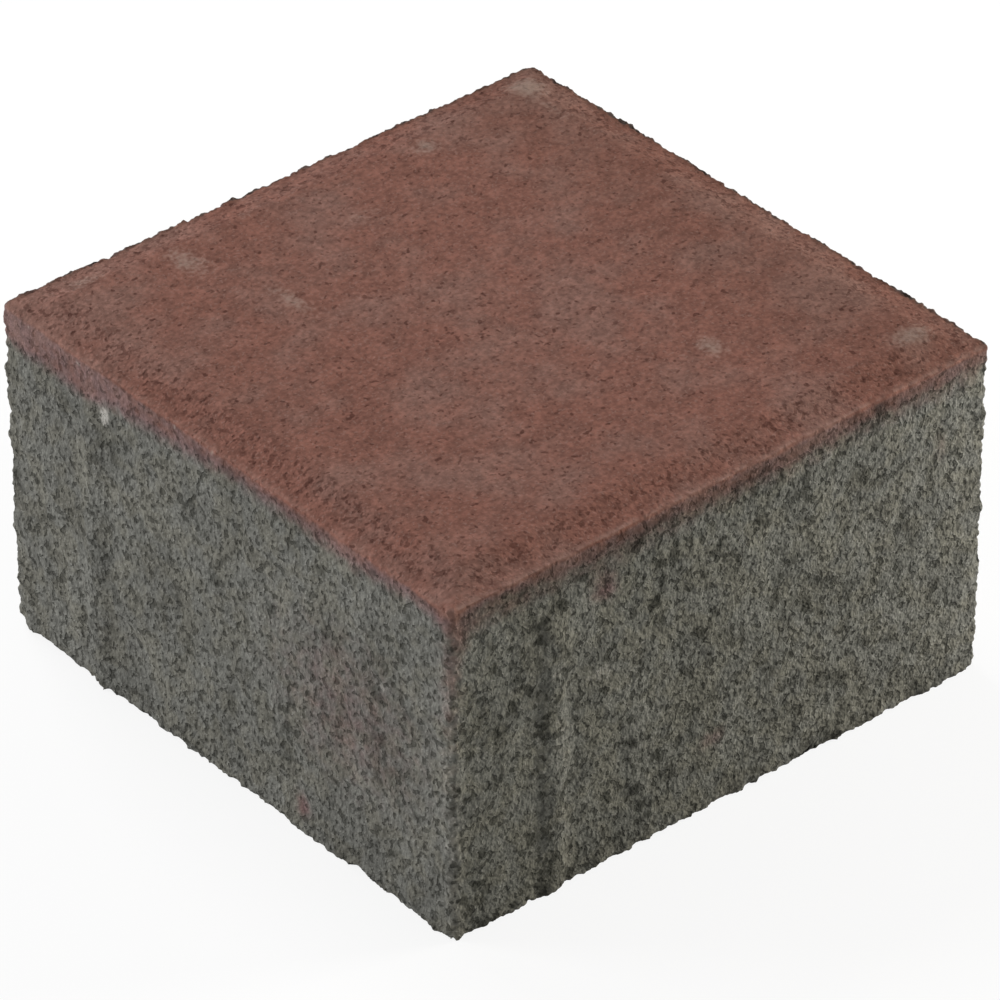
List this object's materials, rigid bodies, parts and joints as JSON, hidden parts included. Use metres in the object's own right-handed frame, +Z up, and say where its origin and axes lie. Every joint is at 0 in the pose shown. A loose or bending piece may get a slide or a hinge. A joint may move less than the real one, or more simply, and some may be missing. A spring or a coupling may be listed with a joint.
{
  "type": "concrete paving stone",
  "caption": "Square two-layer concrete paving stone with a red-brown chamfered face mix on a grey base with spacer ribs.",
  "frame": {"origin": "middle of the underside", "axes": "+Z up through the top face; +X and +Y square to the sides, the stone being the same after a quarter turn"},
  "size_m": [0.14, 0.14, 0.08],
  "materials": {
    "face_mix": "fine pigmented concrete, matt, red-brown",
    "base_concrete": "coarse pressed concrete, matt, grey"
  },
  "bodies": {
    "root": {"face_layer": "face_mix", "base_block": "base_concrete"}
  },
  "joints": []
}
